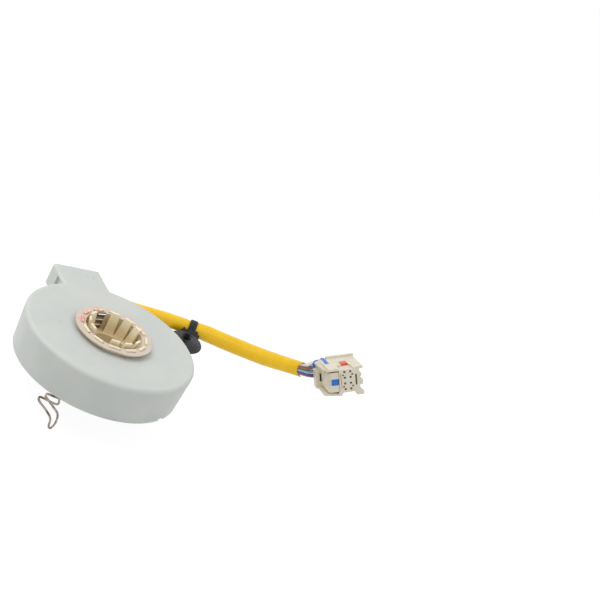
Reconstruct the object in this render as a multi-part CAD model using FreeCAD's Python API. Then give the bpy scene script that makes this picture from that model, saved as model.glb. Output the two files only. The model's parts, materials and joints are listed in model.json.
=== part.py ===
import FreeCAD, Part
import math
import os

# Power steering torque sensor with its short wiring harness. Millimetres.
# Origin: on the rotor axis in the plane of the housing's rear face. +Z points out of the
# face that carries the staked ring, +Y towards the cable tower, +X the side where the
# harness leaves.

V = FreeCAD.Vector

# Housing
housing_r = 45.0
housing_draft = 1.15
housing_depth = 20.4
housing_rim_fillet = 2.0
wall = 1.8
face_wall = 1.8
collar_depth = 4.4
collar_wall = 1.6
cover_step = 0.9
pry_notch_angle = -59.0
pry_notch_width = 4.0
pry_notch_height = 1.2
pry_notch_reach = 4.0

# Cable tower on the housing
tower_half_width = 13.0
tower_length = 16.1
tower_depth = 11.9
tower_wall = 1.5
tower_lip = 1.8
tower_recess = 1.3
tower_recess_start = 3.0
tower_recess_length = 6.6
tower_chamber_start = 8.0
tower_edge_fillet = 0.6
tower_side_fillet = 1.4
tower_nub_r = 0.7
tower_nub_share = 0.26
hatch_fillet = 0.8

# Rear cover
cover_thickness = 1.8
cover_collar_wall = 2.2
cover_tab_width = 7.0
cover_tab_reach = 0.5
cover_tab_height = 0.8
cover_tab_count = 3
cover_tab_first = 20.0
cover_collar_gap = 0.2
socket_gap = 0.03

# Clearances, and how far pieces of one solid or cutting shapes reach into each other
running_gap = 0.08
slip_gap = 0.15
free_gap = 0.3
over = 1.0
sink = 0.5

# Input hub
hub_bore_r = 10.0
hub_tube_r = 13.6
hub_wall_in = 15.2
hub_wall_out = 17.6
hub_bottom = 6.0
hub_web_drop = 8.2
hub_web_thickness = 1.6
ring_lift = 2.0
ring_thickness = 0.6
ring_r = 20.4
ring_bore_margin = 0.2
ring_flat_depth = 0.7
ring_flat_angles = (-17.0, -107.0)
ring_notch_angle = 162.0
ring_notch_r = 0.45
stake_count = 12
stake_first_angle = 10.0
stake_inset = 0.8
stake_length = 5.0
stake_width = 1.2
stake_rise = 0.8
stake_fillet = 0.35
stake_slot_gap = 0.1
stake_slot_spare = 0.6
finger_angles = (10, 40, 70, 130, 160, 190, 250, 280, 310)
finger_rise = 2.3
finger_root_r = 10.7
finger_tip_r = 12.9
finger_thickness = 1.1
finger_root_width = 5.3
finger_tip_width = 4.2
finger_flare = 0.5
finger_flare_height = 1.3
drum_r = 27.4
drum_wall = 1.0
drum_bottom = 3.2
drum_drop = 1.8
drum_plate = 1.4
shoulder_r = 19.0
board_pin_r = 0.8
board_pin_count = 3
board_pin_pitch_r = 16.4
board_pin_length = 0.4

# Key spring in the wide gap between two fingers
key_angle = 98.0
key_width = 4.4
key_strip = 0.35
key_crest_r = 13.8
key_valley_r = 14.35
key_crest_rises = (2.4, 5.4, 8.5)
key_rise = 9.4

# Output hub
out_bore_r = 11.5
out_tube_r = 14.0
out_rear = -1.0
out_tube_top = 5.6
out_flange_bottom = 2.4
out_flange_thickness = 1.6
lug_top = 7.6
lug_half_angle = 10.0
lug_in_r = 11.7
lug_out_r = 13.4
lug_slot_reach = 0.5
twist_stop = 7.0

# Boards and contact springs
board_thickness = 1.2
torque_board_bottom = 6.8
torque_board_in_r = 14.0
board_rim_gap = 0.4
position_board_inset = 9.0
position_board_bore_gap = 1.52
boss_r = 1.8
boss_height = 1.8
boss_inset = 3.0
boss_angles = (30.0, 150.0, 270.0)
screw_r = 1.0
screw_head_r = 1.9
screw_head_height = 1.2
screw_reach = 1.4
wiper_width = 1.8
wiper_strip = 0.25
wiper_base = 4.0
wiper_rise_run = 5.0
wiper_tip_run = 0.8
wiper_tip_drop = 0.6
wiper_tip_gap = 0.15
torque_wiper_steps = (3.5, 6.5, 9.5)
position_wiper_steps = (1.6, 4.2)

# Flat ribbon cable, wound between drum and wall
ribbon_in_gap = 0.4
ribbon_out_gap = 0.9
ribbon_half_turns = 11
ribbon_thickness = 0.35
ribbon_drop = 3.6

# Terminal block in the tower
block_x = (-9.0, 3.0)
block_inset = 4.3
block_reach = 2.5
block_height = 4.8
pin_count = 8
pin_pitch = 1.4
pin_size = 0.5
pin_length = 8.6
pin_inset = 1.0
pin_lift = 2.6

# Harness: sleeve, wires, grommet
sleeve_d = 8.2
sleeve_wall = 0.4
sleeve_bore_depth = 11.2
sleeve_exit_inset = 12.6
sleeve_exit_drop = 5.95
# Route after the tower's wall: X, then Y and Z from the exit
sleeve_start = [
    (5.0, 0.0, 0.0),
    (18.0, -0.1, -0.1),
    (31.5, -3.5, -1.55),
]
sleeve_route_rest = [
    (45.0, 42.0, 11.6),
    (54.5, 40.7, 10.65),
    (63.0, 39.62, 9.88),
    (73.2, 37.98, 9.0),
    (79.0, 36.9, 8.5),
    (91.9, 32.9, 7.4),
    (110.8, 28.0, 6.0),
    (125.6, 25.6, 5.1),
    (139.8, 23.6, 4.4),
]
# The far end is cut on a slant, shorter on this side
sleeve_slant_side = V(-0.582, -0.717, 0.383)
sleeve_slant = 1.61
wire_d = 1.55
wire_names = ("white", "yellow", "brown", "red", "blue", "green", "violet", "black")
wire_bundle_pitch = 1.62
wire_straight = 0.5
wire_start = 0.5
wire_end_gap = 0.1
# Bend of the bundle behind the connector, in the connector's own axes: width, depth, turn of
# the two columns in degrees, share of the way from the tight to the wide spacing
wire_bend = [
    (-14.5, -30.3, 90.0, 0.5),
    (-6.0, -31.8, 50.0, 0.8),
    (-0.6, -27.8, 12.0, 1.0),
]
grommet_rubber = 0.35
grommet_flange_r = 5.1
grommet_flange = 1.2
grommet_fillet = 0.5
grommet_neck_gap = 0.05
grommet_bore_gap = 0.02
grommet_inner_width = 12.0
grommet_inner_thickness = 1.6
grommet_inner_gap = 5.2

# Connector: own axes in the row frame, origin at the middle of the mating face
con_origin = V(147.8, -4.4, 19.9)
con_out = V(-0.354, -0.887, 0.296)
con_right = V(0.866, -0.192, 0.461)
con_pitch = 3.3
con_rows = 4
con_hole = 1.2
con_cavity = 2.0
con_nose_wall = 2.2
con_depth = 22.6
con_right_w = 6.8
con_left_w = -9.9
con_face_left_w = -4.8
con_top_u = 6.35
con_bottom_u = -6.7
terminal_length = 12.0
terminal_size = 1.8
terminal_mouth = 0.9
terminal_mouth_depth = 6.0
terminal_barrel = 4.5
terminal_gap = 1.0

# Top plate of the connector, with its raised lip, strip, skirt and the notch over the nose
plate_w = (-11.0, 8.8)
plate_u = (6.0, 7.3)
lip_w = (-6.8, 9.1)
lip_rise = 1.3
lip_length = 1.4
strip_rise = 0.5
strip_w = (-11.5, -9.6, -10.6, -11.0)
strip_m = (-19.0, -19.4, -0.3)
skirt_join_w = -10.9
skirt_rear = (-13.6, 5.2, 6.4)
skirt_front = (-11.6, 4.6, 5.6)
notch_w = (-4.8, 2.6, 3.6)
notch_back = -8.0
notch_nub_w = (-3.9, -2.8)
notch_nub_length = 2.0
notch_nub_rise = 0.85

# Left side of the connector: two shelves with a wall and the blue lock's window between them
shelf_left_w = -11.0
shelf_right_w = -5.0
shelf_high_u = (1.2, 5.1)
shelf_low_u = (-6.0, -2.1)
shelf_high_back = -19.0
shelf_low_back = -21.0
shelf_front = -0.4
shelf_fillet = 3.0
slit_w = -6.4
slit_depth = 9.0
shield_corner = -3.4
column_w = (-14.2, -12.6, -9.5)
column_u = (-8.0, 2.5, 2.7, 5.2)
column_front = -18.6
column_reach = 2.0
column_slot_w = (-11.9, -10.7)
column_slot_u = (-4.2, 0.6)
floor_u = (-8.4, -7.2)
floor_left_w = -13.0
floor_right_w = -4.0
floor_corner = -4.0
web_front = -3.0

# Mating face and right side of the connector
foot_depth = 6.0
rib_high = (7.9, 1.4, 3.5)
rib_low = (8.7, -3.4, -0.3)
rib_back = -18.0
rib_fillet = 0.8
face_slot_left = (-4.0, 4.2, -3.6, -4.4)
face_slot_width = 0.3
face_slot_depth = 0.8
face_slot_right_w = (4.3, 5.3)
face_slot_right_u = (-3.3, 3.1)
face_slot_right_depth = 8.0
tool_slots = ((-2.6, 3.2), (2.6, 3.3), (-2.5, -3.4), (2.7, -3.4))
tool_slot_size = (0.5, 0.9)
tool_slot_depth = 1.5

# Blue and red locks
lock_arm_width = (-8.8, -5.5)
lock_arm_height = (-2.1, 1.2)
lock_arm_front = -0.6
lock_seat = 2.1
lock_yoke = 1.2
yoke_w = (-14.0, -13.2, -5.5)
yoke_u = (-8.6, 2.6, 6.7)
yoke_fillet = 2.4
tongue_w = (-9.2, -7.4)
tongue_u = (6.15, 7.45)
tongue_front = -12.8
red_w = (-1.4, 2.2)
red_u = (6.5, 7.6)
red_m = (-13.2, -8.3)
red_fillet = 0.3

# Cable tie with push-in foot
tie_strap = 1.0
tie_width = 4.4
tie_bore_r = 3.8
tie_groove_r = 3.75
tie_groove_spare = 0.1
tie_head = (6.6, 4.8, 3.0)
tie_head_lift = 0.4
tie_head_way = V(-0.176, -0.774, -0.609)
tie_stub = (1.3, 3.0, 3.0)
tie_stub_reach = 0.6
tie_rim_centre = V(63.15, 31.63, 4.0)
tie_foot_way = V(-0.462, -0.739, -0.490)
tie_dish_r = 9.7
tie_dish_depth = 3.2
tie_dish_wall = 0.9
tie_dish_base = 1.3
tie_stem_r = 1.5
tie_stem_length = 6.0
tie_barb = 1.5
tie_barb_first = 2.6
tie_barbs = 2

# Anti-rotation wire clip: its first socket, then the route from that socket and the bend
clip_d = 1.1
clip_inset = 6.6
clip_angle = -133.1
clip_top = 1.2
clip_route_steps = [
    (0.0, 0.0, -3.2, 1.1),
    (-7.75, 3.76, -3.2, 1.4),
    (-0.36, -2.6, -9.3, 2.6),
    (-0.93, -3.93, -14.2, 3.0),
    (-2.61, -4.8, -16.5, 0.6),
    (-3.77, -4.56, -15.2, 0.6),
    (-4.3, -4.33, -11.0, 3.0),
    (-11.58, 1.98, -4.1, 1.3),
    (-3.01, -1.33, -4.9, 1.1),
]

# Worked-out sizes
housing_rear_r = housing_r - housing_draft
tower_reach = housing_r + tower_length
face_z = housing_depth
tower_floor = face_z - tower_depth
tower_ceiling = face_z - tower_wall
inner_face_z = face_z - face_wall
ring_bottom = face_z + ring_lift
ring_top = ring_bottom + ring_thickness
ring_bore_r = hub_wall_in - ring_bore_margin
stake_pitch_r = hub_wall_out - stake_inset
finger_tip_z = ring_top + finger_rise
hub_web_top = ring_bottom - hub_web_drop
collar_bottom = face_z - collar_depth
collar_r = hub_wall_out + running_gap + collar_wall
hub_hole_r = hub_wall_out + running_gap
cover_r = housing_rear_r - cover_step - slip_gap
cover_hole_r = out_tube_r + running_gap
torque_board_top = torque_board_bottom + board_thickness
torque_board_out_r = drum_r - drum_wall - board_rim_gap
out_flange_top = out_flange_bottom + out_flange_thickness
position_board_top = inner_face_z - boss_height
position_board_bottom = position_board_top - board_thickness
position_board_in_r = collar_r + position_board_bore_gap
position_board_out_r = housing_r - position_board_inset
boss_pitch_r = position_board_out_r - boss_inset
drum_top = position_board_bottom - drum_drop
ribbon_in_r = drum_r + ribbon_in_gap
ribbon_out_r = housing_rear_r - cover_step - wall - ribbon_out_gap
ribbon_pitch = (ribbon_out_r - ribbon_in_r - ribbon_thickness) / (ribbon_half_turns / 2)
ribbon_top = position_board_bottom - ribbon_drop
block_y = (housing_r - block_inset, housing_r + block_reach)
pin_z = tower_floor + tower_wall + pin_lift
exit_y = tower_reach - sleeve_exit_inset
exit_z = face_z - sleeve_exit_drop
sleeve_route = [(x, exit_y + y, exit_z + z) for x, y, z in sleeve_start] + sleeve_route_rest
clip_x = (housing_r - clip_inset) * math.cos(math.radians(clip_angle))
clip_y = (housing_r - clip_inset) * math.sin(math.radians(clip_angle))
clip_corners = [(clip_x + x, clip_y + y, z) for x, y, z, bend in clip_route_steps]
clip_bends = [step[3] for step in clip_route_steps]
clip_route = ([(clip_corners[0][0], clip_corners[0][1], clip_top)] + clip_corners
              + [(clip_corners[-1][0], clip_corners[-1][1], clip_top)])
Z = V(0, 0, 1)


def turned(profile):
    """Solid of revolution about Z from (radius, height) corners."""
    wire = Part.makePolygon([V(r, 0, z) for r, z in profile + profile[:1]])
    return Part.Face(wire).revolve(V(0, 0, 0), Z, 360)


def ring(outer, inner, low, high):
    """Flat annulus about Z."""
    return turned([(inner, low), (outer, low), (outer, high), (inner, high)])


def disc(radius, low, high, at=(0.0, 0.0)):
    """Cylinder along Z."""
    return Part.makeCylinder(radius, high - low, V(at[0], at[1], low))


def block(x, y, z):
    """Box from three (low, high) pairs."""
    return Part.makeBox(x[1] - x[0], y[1] - y[0], z[1] - z[0], V(x[0], y[0], z[0]))


def prism(points, along):
    """Solid from a closed polygon of points, pushed along a vector."""
    wire = Part.makePolygon(list(points) + [points[0]])
    return Part.Face(wire).extrude(along)


def turn_z(shape, angle):
    """Copy of a shape turned about Z."""
    copy = shape.copy()
    copy.rotate(V(0, 0, 0), Z, angle)
    return copy


def around(shape, angles):
    """Copies of a shape about Z, one for each angle."""
    return [turn_z(shape, angle) for angle in angles]


def evenly(count, first=0.0):
    """Evenly spaced angles."""
    return [first + 360.0 * k / count for k in range(count)]


def path(points, bends=None):
    """Straight runs joined by tangent arcs at the points; also gives the least radius."""
    points = [V(*p) for p in points]
    corners = []
    least = None
    for k in range(1, len(points) - 1):
        before, here, after = points[k - 1:k + 2]
        way_in = (here - before).normalize()
        way_out = (after - here).normalize()
        half = way_in.getAngle(way_out) / 2
        shorter = min((here - before).Length, (after - here).Length)
        radius = 0.45 * shorter / math.tan(half)
        if bends is not None:
            radius = min(radius, bends[k - 1])
        back = radius * math.tan(half)
        middle = (way_out - way_in).normalize() * (radius / math.cos(half) - radius)
        corners.append((here - way_in * back, here + middle, here + way_out * back))
        least = radius if least is None else min(least, radius)
    edges = []
    last = points[0]
    for start, middle, end in corners:
        edges.append(Part.LineSegment(last, start).toShape())
        edges.append(Part.Arc(start, middle, end).toShape())
        last = end
    edges.append(Part.LineSegment(last, points[-1]).toShape())
    return Part.Wire(edges), least


def tube(points, diameter, bends=None):
    """Round bar along straight runs and tangent arcs."""
    spine, least = path(points, bends)
    start = V(*points[0])
    way = V(*points[1]) - start
    section = Part.Wire(Part.makeCircle(diameter / 2, start, way))
    solid = spine.makePipeShell([section], True, False)
    expected = math.pi * diameter ** 2 / 4 * spine.Length
    print("tube", round(spine.Length, 1), "mm, least radius", round(least, 1),
          "volume over section", round(solid.Volume / expected, 4))
    return solid


def save(name, shape):
    """Write one node."""
    shape.exportStep("parts/" + name + ".step")


def housing():
    """Moulded cup with the cable tower, open at the rear."""
    outer = turned([
        (0, 0),
        (housing_rear_r, 0),
        (housing_r, face_z - housing_rim_fillet),
        (housing_r, face_z),
        (0, face_z),
    ])
    rim = [e for e in outer.Edges if e.BoundBox.ZMin > face_z - 0.01]
    outer = outer.makeFillet(housing_rim_fillet, rim)
    hollow = turned([
        (0, -over),
        (cover_r + slip_gap, -over),
        (cover_r + slip_gap, cover_thickness),
        (housing_rear_r - wall - cover_step, cover_thickness),
        (housing_r - wall - cover_step, inner_face_z),
        (0, inner_face_z),
    ])
    tower = block((-tower_half_width, tower_half_width), (0, tower_reach), (tower_floor, face_z))
    side = [e for e in tower.Edges
            if e.BoundBox.XMax < -tower_half_width + 0.01 and e.BoundBox.ZMin > face_z - 0.01]
    tower = tower.makeFillet(tower_side_fillet, side)
    end = [e for e in tower.Edges if e.BoundBox.YMin > tower_reach - 0.01]
    tower = tower.makeFillet(tower_edge_fillet, end)
    recess = block(
        (-tower_half_width - over, -tower_half_width + tower_recess),
        (housing_r - tower_recess_start, housing_r + tower_recess_length),
        (tower_floor - over, face_z - tower_lip),
    )
    # the recess is taken from the tower alone
    recess = recess.cut(disc(housing_r, 0, face_z))
    chamber_x = (-tower_half_width + tower_recess + tower_wall, tower_half_width - tower_wall)
    chamber = block(chamber_x, (housing_r - tower_chamber_start, tower_reach - tower_wall),
                    (tower_floor + tower_wall, tower_ceiling))
    hatch = block(chamber_x, (housing_r, tower_reach - tower_wall),
                  (tower_floor - over, tower_floor + tower_wall + over))
    # inside the disc the chamber ends under the disc's own face wall
    chamber = chamber.cut(disc(housing_r - wall - cover_step, inner_face_z, face_z))
    body = outer.fuse(tower).cut(recess).cut(hollow).cut(chamber).cut(hatch)
    collar = ring(collar_r, hub_bore_r, collar_bottom, face_z - sink)
    bosses = [disc(boss_r, position_board_top, inner_face_z + sink, at) for at in boss_places()]
    body = body.fuse([collar] + bosses)
    body = body.cut(disc(hub_hole_r, collar_bottom - over, face_z + over))
    for at in boss_places():
        body = body.cut(disc(screw_r, position_board_bottom, inner_face_z, at))
    exit_hole = Part.makeCylinder(
        sleeve_d / 2 + grommet_rubber + grommet_neck_gap, 2 * tower_wall,
        V(tower_half_width - 1.5 * tower_wall, exit_y, exit_z), V(1, 0, 0))
    body = body.cut(exit_hole)
    notch = block((housing_rear_r - pry_notch_reach, housing_r + over),
                  (-pry_notch_width / 2, pry_notch_width / 2), (-over, pry_notch_height))
    body = body.cut(turn_z(notch, pry_notch_angle))
    body = body.cut(cover_tabs(slip_gap))
    nub = Part.makeSphere(tower_nub_r, V(-tower_half_width * tower_nub_share,
                                         tower_reach - tower_nub_r, face_z - sink))
    return body.fuse(nub).removeSplitter()


def boss_places():
    """Centres of the bosses that carry the position board."""
    return [(boss_pitch_r * math.cos(math.radians(a)), boss_pitch_r * math.sin(math.radians(a)))
            for a in boss_angles]


def cover_tabs(spare):
    """The cover's snap tabs, grown by a clearance."""
    middle = cover_thickness / 2
    tab = block(
        (cover_r - over, cover_r + cover_tab_reach + spare),
        (-cover_tab_width / 2 - spare, cover_tab_width / 2 + spare),
        (middle - cover_tab_height / 2 - spare, middle + cover_tab_height / 2 + spare),
    )
    return around(tab, evenly(cover_tab_count, cover_tab_first))


def rear_cover():
    """Snap-in cover with the rear bearing collar and two sockets for the wire clip."""
    collar_top = out_flange_bottom - cover_collar_gap
    body = turned([
        (cover_hole_r, 0),
        (cover_r, 0),
        (cover_r, cover_thickness),
        (cover_hole_r + cover_collar_wall, cover_thickness),
        (cover_hole_r + cover_collar_wall, collar_top),
        (cover_hole_r, collar_top),
    ])
    body = body.fuse(cover_tabs(0))
    for end in (clip_route[0], clip_route[-1]):
        body = body.cut(disc(clip_d / 2 + socket_gap, -over, end[2], end[:2]))
    return body


def finger():
    """One grip finger at angle 0: a plate that leans outwards, with a flared root."""
    def section(inner, outer, width, z):
        return Part.makePolygon([
            V(inner, -width / 2, z),
            V(outer, -width / 2, z),
            V(outer, width / 2, z),
            V(inner, width / 2, z),
            V(inner, -width / 2, z),
        ])

    root_out = finger_root_r + finger_thickness
    tip_out = finger_tip_r + finger_thickness
    lean = (finger_tip_r - finger_root_r) / (finger_tip_z - hub_web_top)
    low = hub_web_top - sink
    plate = Part.makeLoft([
        section(finger_root_r, root_out, finger_root_width, low),
        section(finger_tip_r, tip_out, finger_tip_width, finger_tip_z),
    ], True, True)
    top = hub_web_top + finger_flare_height
    shift = lean * finger_flare_height
    flare = Part.makeLoft([
        section(finger_root_r - finger_flare * 0.6, root_out + finger_flare,
                finger_root_width + 2 * finger_flare, low),
        section(finger_root_r + shift, root_out + shift, finger_root_width - 0.1, top),
    ], True, True)
    return plate.fuse(flare)


def stake():
    """One heat stake at angle 0, proud of the ring."""
    bar = block((stake_pitch_r - stake_width / 2, stake_pitch_r + stake_width / 2),
                (-stake_length / 2, stake_length / 2), (ring_bottom - sink, ring_top + stake_rise))
    edges = [e for e in bar.Edges if e.BoundBox.ZMin > ring_top + stake_rise - 0.01]
    return bar.makeFillet(stake_fillet, edges)


def notch_sector(half_angle, inner, outer, low, high, angle):
    """Sector of an annulus about an angle."""
    part = ring(outer, inner, low, high)
    far = outer * 2
    a = math.radians(half_angle)
    wedge = prism([V(0, 0, low), V(far, -far * math.tan(a), low), V(far, far * math.tan(a), low)],
                  V(0, 0, high - low))
    return turn_z(part.common(wedge), angle)


def input_hub():
    """Front hub: grip fingers, bore, wall with stakes, drum for the ribbon."""
    body = turned([
        (hub_bore_r, hub_bottom),
        (hub_tube_r, hub_bottom),
        (hub_tube_r, hub_web_top - hub_web_thickness),
        (hub_wall_in, hub_web_top - hub_web_thickness),
        (hub_wall_in, torque_board_top),
        (hub_wall_out, torque_board_top),
        (hub_wall_out, drum_top - drum_plate),
        (drum_r - drum_wall, drum_top - drum_plate),
        (drum_r - drum_wall, drum_bottom),
        (drum_r, drum_bottom),
        (drum_r, drum_top),
        (shoulder_r, drum_top),
        (shoulder_r, collar_bottom - free_gap),
        (hub_wall_out, collar_bottom - free_gap),
        (hub_wall_out, ring_bottom),
        (hub_wall_in, ring_bottom),
        (hub_wall_in, hub_web_top),
        (hub_bore_r, hub_web_top),
    ])
    for angle in (90.0, 270.0):
        body = body.cut(notch_sector(lug_half_angle + twist_stop, hub_bore_r - over,
                                     hub_tube_r + lug_slot_reach, hub_bottom - over,
                                     torque_board_top, angle))
    pin = disc(board_pin_r, torque_board_bottom - board_pin_length, torque_board_top + sink,
               (board_pin_pitch_r, 0))
    pieces = around(finger(), finger_angles)
    pieces += around(stake(), evenly(stake_count, stake_first_angle))
    pieces += around(pin, evenly(board_pin_count))
    return body.fuse(pieces)


def retaining_ring():
    """Thin board ring held by the twelve stakes."""
    body = ring(ring_r, ring_bore_r, ring_bottom, ring_top)
    half = stake_length / 2 + stake_slot_gap
    slot = block((stake_pitch_r - stake_width / 2 - stake_slot_gap,
                  stake_pitch_r + stake_width / 2 + stake_slot_gap),
                 (-half, half + stake_slot_spare), (ring_bottom - over, ring_top + over))
    body = body.cut(around(slot, evenly(stake_count, stake_first_angle)))
    flat = block((ring_r - ring_flat_depth, ring_r + over), (-ring_r, ring_r),
                 (ring_bottom - over, ring_top + over))
    body = body.cut(around(flat, ring_flat_angles))
    notch = disc(ring_notch_r, ring_bottom - over, ring_top + over, (ring_r, 0))
    return body.cut(turn_z(notch, ring_notch_angle))


def key_spring():
    """Pleated steel strip that stands on the web in the wide finger gap."""
    middle = [(key_valley_r, hub_web_top)]
    heights = [hub_web_top + rise for rise in key_crest_rises]
    for k, height in enumerate(heights):
        middle.append((key_crest_r, height))
        if k + 1 < len(heights):
            middle.append((key_valley_r, (height + heights[k + 1]) / 2))
    middle.append((key_valley_r, hub_web_top + key_rise))
    outline = [V(r, -key_width / 2, z) for r, z in middle]
    outline += [V(r + key_strip, -key_width / 2, z) for r, z in reversed(middle)]
    return turn_z(prism(outline, V(0, key_width, 0)), key_angle)


def output_hub():
    """Rear hub with its flange and the two lugs that limit the twist."""
    body = turned([
        (out_bore_r, out_rear),
        (out_tube_r, out_rear),
        (out_tube_r, out_flange_bottom),
        (torque_board_out_r, out_flange_bottom),
        (torque_board_out_r, out_flange_top),
        (out_tube_r, out_flange_top),
        (out_tube_r, out_tube_top),
        (out_bore_r, out_tube_top),
    ])
    lugs = [notch_sector(lug_half_angle, lug_in_r, lug_out_r, out_tube_top - sink, lug_top, a)
            for a in (90.0, 270.0)]
    return body.fuse(lugs)


def wiper(radius, seat, track):
    """One contact spring at angle 0: foot on the seat, arm up to the track."""
    tip = track - wiper_tip_gap
    along = [(-wiper_base, seat), (0.0, seat), (wiper_rise_run, tip - wiper_strip),
             (wiper_rise_run + wiper_tip_run, tip - wiper_tip_drop)]
    low = [V(radius - wiper_width / 2, t, z) for t, z in along]
    high = [V(radius - wiper_width / 2, t, z + wiper_strip) for t, z in reversed(along)]
    return prism(low + high, V(wiper_width, 0, 0))


def torque_board():
    """Board ring with the resistive tracks, pinned under the input hub."""
    body = ring(torque_board_out_r, torque_board_in_r, torque_board_bottom, torque_board_top)
    hole = disc(board_pin_r + running_gap, torque_board_bottom - over, torque_board_top + over,
                (board_pin_pitch_r, 0))
    return body.cut(around(hole, evenly(board_pin_count)))


def position_board():
    """Board ring screwed to three bosses under the face."""
    body = ring(position_board_out_r, position_board_in_r, position_board_bottom,
                position_board_top)
    hole = disc(screw_r + slip_gap, position_board_bottom - over, position_board_top + over,
                (boss_pitch_r, 0))
    return body.cut(around(hole, boss_angles))


def board_screws():
    """Three self-tapping screws for the position board."""
    head = disc(screw_head_r, position_board_bottom - screw_head_height, position_board_bottom,
                (boss_pitch_r, 0))
    shank = disc(screw_r - socket_gap, position_board_bottom - screw_head_height / 2,
                 position_board_top + screw_reach, (boss_pitch_r, 0))
    return Part.makeCompound(around(head.fuse(shank), boss_angles))


def ribbon():
    """Flat cable as a spiral of half circles whose centres change sides."""
    def side(shift):
        edges = []
        last = None
        for k in range(ribbon_half_turns):
            radius = ribbon_in_r + shift + ribbon_pitch / 4 + k * ribbon_pitch / 2
            centre = ribbon_pitch / 4 * (1 if k % 2 == 0 else -1)
            sense = 1 if k % 2 == 0 else -1
            start = V(0, centre - sense * radius, z_low)
            middle = V(sense * radius, centre, z_low)
            end = V(0, centre + sense * radius, z_low)
            edges.append(Part.Arc(start, middle, end).toShape())
            last = end
        return edges, V(0, ribbon_pitch / 4 - (ribbon_in_r + shift + ribbon_pitch / 4), z_low), last

    z_low = cover_thickness + free_gap
    inner, inner_start, inner_end = side(0.0)
    outer, outer_start, outer_end = side(ribbon_thickness)
    edges = inner + [Part.LineSegment(inner_end, outer_end).toShape()]
    edges += outer[::-1] + [Part.LineSegment(outer_start, inner_start).toShape()]
    outline = Part.Wire(Part.__sortEdges__(edges))
    return Part.Face(outline).extrude(V(0, 0, ribbon_top - z_low))


def terminal_block():
    """Block through the window between disc and tower that carries the solder pins."""
    low = tower_floor + tower_wall
    body = block(block_x, block_y, (low, low + block_height))
    for x in pin_places():
        body = body.cut(pin_bar(x))
    return body


def pin_places():
    """Centres of the pins along X."""
    middle = (block_x[0] + block_x[1]) / 2
    return [middle + (k - (pin_count - 1) / 2) * pin_pitch for k in range(pin_count)]


def pin_bar(x):
    """One square pin."""
    y_low = block_y[0] + pin_inset
    return block((x - pin_size / 2, x + pin_size / 2), (y_low, y_low + pin_length),
                 (pin_z - pin_size / 2, pin_z + pin_size / 2))


def terminal_pins():
    """Row of square solder pins."""
    return Part.makeCompound([pin_bar(x) for x in pin_places()])


def tower_hatch():
    """Plate that closes the tower's underside."""
    x_low = -tower_half_width + tower_recess + tower_wall + slip_gap
    x_high = tower_half_width - tower_wall - slip_gap
    y_low = housing_r + slip_gap
    y_high = tower_reach - tower_wall - slip_gap
    plate = block((x_low, x_high), (y_low, y_high), (tower_floor, tower_floor + tower_wall))
    edges = [e for e in plate.Edges if abs(e.BoundBox.ZLength - tower_wall) < 0.01]
    return plate.makeFillet(hatch_fillet, edges)


def grommet():
    """Rubber grommet in the tower's side wall, round the sleeve, with two cheeks inside."""
    x = tower_half_width
    neck = Part.makeCylinder(sleeve_d / 2 + grommet_rubber, tower_wall,
                             V(x - tower_wall, exit_y, exit_z), V(1, 0, 0))
    rim = Part.makeCylinder(grommet_flange_r, grommet_flange, V(x, exit_y, exit_z), V(1, 0, 0))
    edges = [e for e in rim.Edges if e.BoundBox.XMin > x + grommet_flange - 0.01]
    rim = rim.makeFillet(grommet_fillet, edges)
    half = grommet_inner_width / 2
    inner_x = (x - tower_wall - grommet_inner_thickness, x - tower_wall)
    inner_z = (tower_floor + tower_wall + slip_gap, tower_ceiling - slip_gap)
    inner = block(inner_x, (exit_y - half, exit_y + half), inner_z)
    inner = inner.cut(block((inner_x[0] - over, inner_x[1] + over),
                            (exit_y - grommet_inner_gap / 2, exit_y + grommet_inner_gap / 2),
                            (inner_z[0] - over, inner_z[1] + over)))
    bore, least = path(sleeve_route[:3])
    section = Part.Wire(Part.makeCircle(sleeve_d / 2 + grommet_bore_gap, V(*sleeve_route[0]),
                                        V(1, 0, 0)))
    return neck.fuse([rim, inner]).cut(bore.makePipeShell([section], True, False))


def tie_run():
    """Middle of the sleeve's straight run under the tie, and the way along it."""
    run = [V(*p) for p in sleeve_route[5:7]]
    return (run[0] + run[1]) * 0.5, (run[1] - run[0]).normalize()


def sleeve():
    """Yellow sleeve, pinched under the tie; its far end is open and cut on a slant."""
    body = tube(sleeve_route, sleeve_d)
    end = V(*sleeve_route[-1])
    way = (end - V(*sleeve_route[-2])).normalize()
    bore = Part.makeCylinder(sleeve_d / 2 - sleeve_wall, sleeve_bore_depth + over,
                             end - way * sleeve_bore_depth, way)
    side = (sleeve_slant_side - way * way.dot(sleeve_slant_side)).normalize()
    reach = sleeve_d * 2
    slant = Part.makeBox(2 * reach, 2 * reach, reach, V(-reach, -reach, 0))
    slant.Placement = FreeCAD.Placement(end, FreeCAD.Rotation(Z, way + side * sleeve_slant))
    place, along = tie_run()
    length = tie_width + 2 * tie_groove_spare
    start = place - along * (length / 2)
    groove = Part.makeCylinder(sleeve_d, length, start, along).cut(
        Part.makeCylinder(tie_groove_r, length, start, along))
    return body.cut(bore).cut(slant).cut(groove)


def con_point(w, u, m):
    """Point in the row frame from the connector's own width, height and depth."""
    up = con_up()
    return con_origin + con_right * w + up * u + con_out * m


def con_up():
    """The connector's upward axis."""
    return con_out.cross(con_right).normalize()


def con_place(shape):
    """Move a shape from the connector's own axes (width, height, depth) to the row frame."""
    x = V(con_right)
    z = V(con_out)
    y = z.cross(x).normalize()
    x = y.cross(z).normalize()
    z = x.cross(y).normalize()
    matrix = FreeCAD.Matrix(x.x, y.x, z.x, con_origin.x, x.y, y.y, z.y, con_origin.y,
                            x.z, y.z, z.z, con_origin.z, 0, 0, 0, 1)
    copy = shape.copy()
    copy.Placement = FreeCAD.Placement(matrix)
    return copy


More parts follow.
